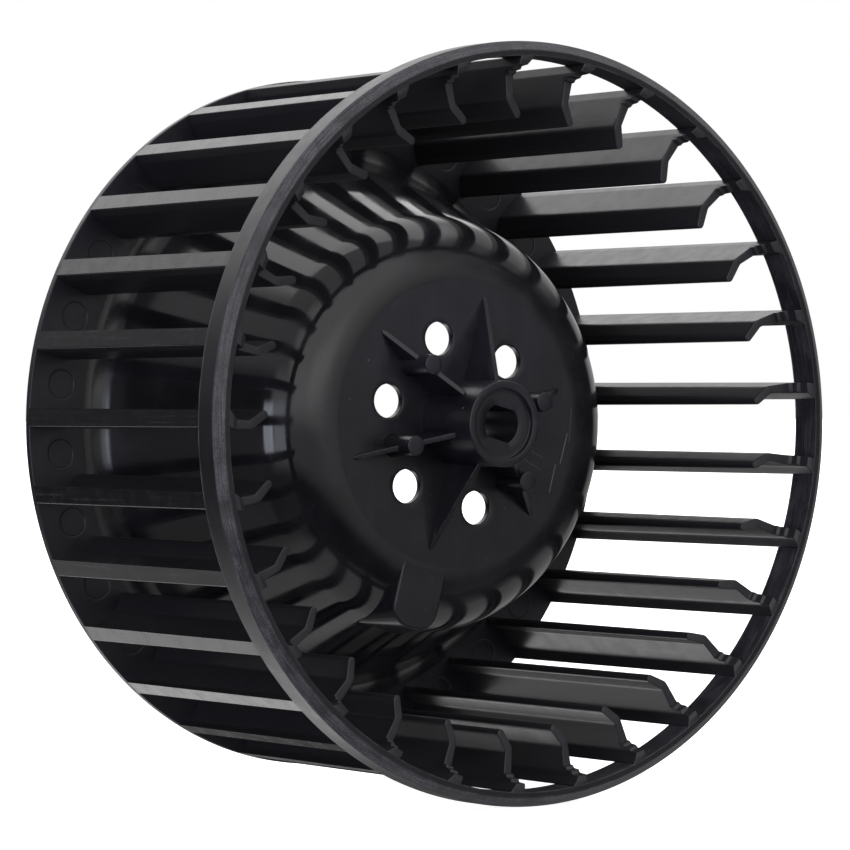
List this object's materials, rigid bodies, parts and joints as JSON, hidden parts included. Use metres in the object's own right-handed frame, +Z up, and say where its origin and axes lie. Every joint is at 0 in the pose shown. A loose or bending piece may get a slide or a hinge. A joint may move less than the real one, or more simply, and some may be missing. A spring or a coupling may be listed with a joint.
{
  "type": "blower motor wheel",
  "caption": "Moulded black centrifugal blower wheel: curved blades between a front ring and a rear disc, with a bell-shaped hub and a double-D bore.",
  "frame": {"origin": "on the spin axis, halfway along the wheel", "axes": "+Y along the spin axis towards the motor side, so the open inlet faces -Y; +Z up, +X to the right seen from the inlet"},
  "size_m": [0.15, 0.0754, 0.15],
  "materials": {
    "ring_plastic": "satin black, rubbed grey with fine scuffs along its bevelled front",
    "blade_plastic": "satin black with faint lengthwise draw lines",
    "disc_plastic": "satin black",
    "bell_plastic": "smooth glossy black",
    "hub_plastic": "fine-grained satin black"
  },
  "bodies": {
    "root": {"front_ring": "ring_plastic", "rear_disc": "disc_plastic", "dish_floor": "hub_plastic", "hub_boss": "hub_plastic", "shoulder_lug": "hub_plastic", "bell_shoulder_inner": "bell_plastic", "bell_shoulder_outer": "bell_plastic", "bell_neck": "bell_plastic", "bell_flare_inner": "bell_plastic", "bell_flare_outer": "bell_plastic", "blade_01": "blade_plastic", "blade_02": "blade_plastic", "blade_03": "blade_plastic", "blade_04": "blade_plastic", "blade_05": "blade_plastic", "blade_06": "blade_plastic", "blade_07": "blade_plastic", "blade_08": "blade_plastic", "blade_09": "blade_plastic", "blade_10": "blade_plastic", "blade_11": "blade_plastic", "blade_12": "blade_plastic", "blade_13": "blade_plastic", "blade_14": "blade_plastic", "blade_15": "blade_plastic", "blade_16": "blade_plastic", "blade_17": "blade_plastic", "blade_18": "blade_plastic", "blade_19": "blade_plastic", "blade_20": "blade_plastic", "blade_21": "blade_plastic", "blade_22": "blade_plastic", "blade_23": "blade_plastic", "blade_24": "blade_plastic", "blade_25": "blade_plastic", "blade_26": "blade_plastic", "blade_27": "blade_plastic", "blade_28": "blade_plastic", "blade_29": "blade_plastic", "gusset_1": "hub_plastic", "gusset_2": "hub_plastic", "gusset_3": "hub_plastic", "gusset_4": "hub_plastic", "gusset_5": "hub_plastic", "gusset_6": "hub_plastic", "post_1": "hub_plastic", "post_2": "hub_plastic", "post_3": "hub_plastic", "post_4": "hub_plastic"}
  },
  "joints": []
}
